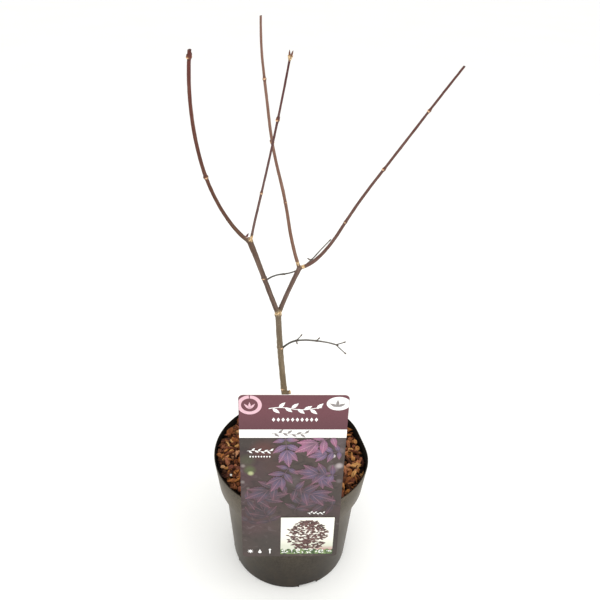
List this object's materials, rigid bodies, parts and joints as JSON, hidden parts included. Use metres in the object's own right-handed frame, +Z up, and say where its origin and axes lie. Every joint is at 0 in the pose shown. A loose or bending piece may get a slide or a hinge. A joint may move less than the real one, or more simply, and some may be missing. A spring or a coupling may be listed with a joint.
{
  "type": "potted japanese maple",
  "caption": "Bare young maple with forked limbs and long budded shoots, in a round nursery pot with bark mulch and a tall hanging picture card.",
  "frame": {"origin": "centre of the pot's flat underside, on the surface it stands on", "axes": "+Z up, -Y to the front where the card hangs, +X to the right of the card"},
  "size_m": [0.2291, 0.1965, 0.6551],
  "materials": {
    "pot": "satin moulded",
    "potting_mix": "crumbly",
    "bark_chips": "rough",
    "stem_bark": "striated bark",
    "limb_bark": "striated bark",
    "shoot_bark": "smooth young bark",
    "twig": "dull",
    "printed_card": "satin print",
    "card_back": "satin"
  },
  "bodies": {
    "root": {"pot": "pot", "potting_mix": "potting_mix", "bark_mulch": "bark_chips", "trunk": "stem_bark", "left_limb": "limb_bark", "right_limb": "limb_bark", "left_outer_shoot": "shoot_bark", "left_inner_shoot": "shoot_bark", "right_inner_shoot": "shoot_bark", "right_outer_shoot": "shoot_bark", "low_twigs": "twig", "cross_twigs": "twig", "label_card": "printed_card", "label_hook": "card_back"}
  },
  "joints": []
}
